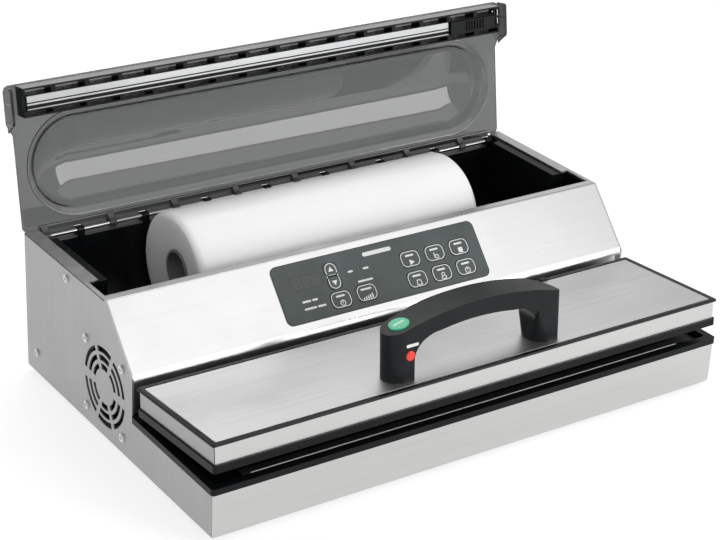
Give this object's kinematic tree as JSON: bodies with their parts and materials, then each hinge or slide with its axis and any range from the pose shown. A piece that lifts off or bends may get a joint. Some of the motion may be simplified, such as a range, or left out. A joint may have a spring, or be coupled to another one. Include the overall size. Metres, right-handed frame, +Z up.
{
  "type": "vacuum sealer",
  "caption": "Steel kitchen vacuum sealer with hinged sealing lid and handle, sloped key panel, and a film-roll bin under a hinged smoke cover with sliding cutter.",
  "frame": {"origin": "on the surface the feet stand on, under the middle of the whole object's box as it stands at rest", "axes": "+X to the object's right along its width, +Y to the back, +Z up"},
  "size_m": [0.51, 0.3542, 0.2543],
  "materials": {
    "steel_panels": "brushed stainless sheet",
    "steel_lid": "brushed stainless sheet, grain along X",
    "bright_steel": "bright steel",
    "rubber": "matt",
    "gasket_rubber": "foam rubber",
    "silicone": "matt silicone",
    "black_plastic": "moulded, slight sheen",
    "charcoal_plastic": "satin moulded",
    "overlay": "satin printed sheet",
    "display": "smoked lens",
    "circuit_board": "solder mask",
    "seal_bar": "plain",
    "tape": "woven coated tape",
    "pump_housing": "satin",
    "transformer": "varnished",
    "hose": "clear silicone",
    "core_card": "wound card",
    "bag_film": "translucent embossed film",
    "green_button": "moulded",
    "red_button": "moulded",
    "smoke_plastic": "smoke-tinted clear plastic",
    "aluminium_track": "anodised"
  },
  "bodies": {
    "base": {"bottom_plate": "steel_panels", "rubber_feet": "rubber", "left_side_panel": "steel_panels", "right_side_panel": "steel_panels", "front_panel": "steel_panels", "rear_panel": "steel_panels", "slope_panel": "steel_panels", "panel_overlay": "overlay", "display_window": "display", "display_module": "display", "control_board": "circuit_board", "key_switches": "black_plastic", "casing_screws": "bright_steel", "fan_screws": "bright_steel", "deck_tray": "black_plastic", "lower_gasket": "gasket_rubber", "seal_bar": "seal_bar", "ptfe_tape": "tape", "lid_hinge_brackets": "bright_steel", "lid_hinge_pins": "bright_steel", "lid_hinge_springs": "bright_steel", "lid_switch": "black_plastic", "film_bin": "black_plastic", "cover_hinge_rod": "bright_steel", "vacuum_pump": "pump_housing", "pump_motor": "bright_steel", "vacuum_hose": "hose", "solenoid_valve": "pump_housing", "transformer": "transformer", "fan_frame": "black_plastic", "power_inlet": "black_plastic"},
    "fan_rotor": {"fan_rotor": "black_plastic"},
    "film_roll": {"film_core": "core_card", "film_wrap": "bag_film"},
    "seal_lid": {"lid_top_rim": "charcoal_plastic", "lid_skin": "steel_lid", "lid_band": "steel_lid", "lid_frame": "black_plastic", "upper_gasket": "gasket_rubber", "silicone_strip": "silicone", "handle": "charcoal_plastic", "handle_screws": "bright_steel"},
    "start_button": {"start_button": "green_button"},
    "seal_button": {"seal_button": "red_button"},
    "storage_cover": {"cover_shell": "smoke_plastic", "cover_hinge_strip": "black_plastic", "cutter_rail": "black_plastic", "cutter_track": "aluminium_track"},
    "cutter": {"cutter_carriage": "black_plastic", "cutter_blade": "bright_steel"},
    "key_start": {"key_start": "overlay"},
    "key_pulse": {"key_pulse": "overlay"},
    "key_stop": {"key_stop": "overlay"},
    "key_seal": {"key_seal": "overlay"},
    "key_marinate": {"key_marinate": "overlay"},
    "key_power": {"key_power": "overlay"},
    "key_set": {"key_set": "overlay"},
    "key_vacuum_level": {"key_vacuum_level": "overlay"},
    "key_up": {"key_up": "overlay"},
    "key_down": {"key_down": "overlay"}
  },
  "joints": [
    {"name": "lid_hinge", "type": "hinge", "parent": "base", "child": "seal_lid", "pos_m": [0, -0.06411, 0.065], "axis": [-1, 0, 0], "range_deg": [-4.2, 58], "stiffness_Nm_per_rad": 4, "springref_deg": 11.46},
    {"name": "cover_hinge", "type": "hinge", "parent": "base", "child": "storage_cover", "pos_m": [0, 0.13439, 0.1242], "axis": [1, 0, 0], "range_deg": [0, 99.1]},
    {"name": "cutter_slide", "type": "slide", "parent": "storage_cover", "child": "cutter", "axis": [-1, 0, 0], "range_m": [0, 0.42]},
    {"name": "roll_spin", "type": "hinge", "parent": "base", "child": "film_roll", "pos_m": [0, 0.07739, 0.0955], "axis": [1, 0, 0], "continuous": true},
    {"name": "fan_spin", "type": "hinge", "parent": "base", "child": "fan_rotor", "pos_m": [-0.246, -0.00261, 0.0505], "axis": [1, 0, 0], "continuous": true},
    {"name": "start_press", "type": "slide", "parent": "seal_lid", "child": "start_button", "axis": [0.2353, -0.0712, -0.9693], "range_m": [0, 0.002], "stiffness_N_per_m": 400, "springref_m": -0.001},
    {"name": "seal_press", "type": "slide", "parent": "seal_lid", "child": "seal_button", "axis": [0, 0.9973, -0.0732], "range_m": [0, 0.0012], "stiffness_N_per_m": 400, "springref_m": -0.001},
    {"name": "key_start_press", "type": "slide", "parent": "base", "child": "key_start", "axis": [0, 0.744, -0.6681], "range_m": [0, 0.0005], "stiffness_N_per_m": 600, "springref_m": -0.0005},
    {"name": "key_pulse_press", "type": "slide", "parent": "base", "child": "key_pulse", "axis": [0, 0.744, -0.6681], "range_m": [0, 0.0005], "stiffness_N_per_m": 600, "springref_m": -0.0005},
    {"name": "key_stop_press", "type": "slide", "parent": "base", "child": "key_stop", "axis": [0, 0.744, -0.6681], "range_m": [0, 0.0005], "stiffness_N_per_m": 600, "springref_m": -0.0005},
    {"name": "key_seal_press", "type": "slide", "parent": "base", "child": "key_seal", "axis": [0, 0.744, -0.6681], "range_m": [0, 0.0005], "stiffness_N_per_m": 600, "springref_m": -0.0005},
    {"name": "key_marinate_press", "type": "slide", "parent": "base", "child": "key_marinate", "axis": [0, 0.744, -0.6681], "range_m": [0, 0.0005], "stiffness_N_per_m": 600, "springref_m": -0.0005},
    {"name": "key_power_press", "type": "slide", "parent": "base", "child": "key_power", "axis": [0, 0.744, -0.6681], "range_m": [0, 0.0005], "stiffness_N_per_m": 600, "springref_m": -0.0005},
    {"name": "key_set_press", "type": "slide", "parent": "base", "child": "key_set", "axis": [0, 0.744, -0.6681], "range_m": [0, 0.0005], "stiffness_N_per_m": 600, "springref_m": -0.0005},
    {"name": "key_vacuum_level_press", "type": "slide", "parent": "base", "child": "key_vacuum_level", "axis": [0, 0.744, -0.6681], "range_m": [0, 0.0005], "stiffness_N_per_m": 600, "springref_m": -0.0005},
    {"name": "key_up_press", "type": "slide", "parent": "base", "child": "key_up", "axis": [0, 0.744, -0.6681], "range_m": [0, 0.0005], "stiffness_N_per_m": 600, "springref_m": -0.0005},
    {"name": "key_down_press", "type": "slide", "parent": "base", "child": "key_down", "axis": [0, 0.744, -0.6681], "range_m": [0, 0.0005], "stiffness_N_per_m": 600, "springref_m": -0.0005}
  ]
}
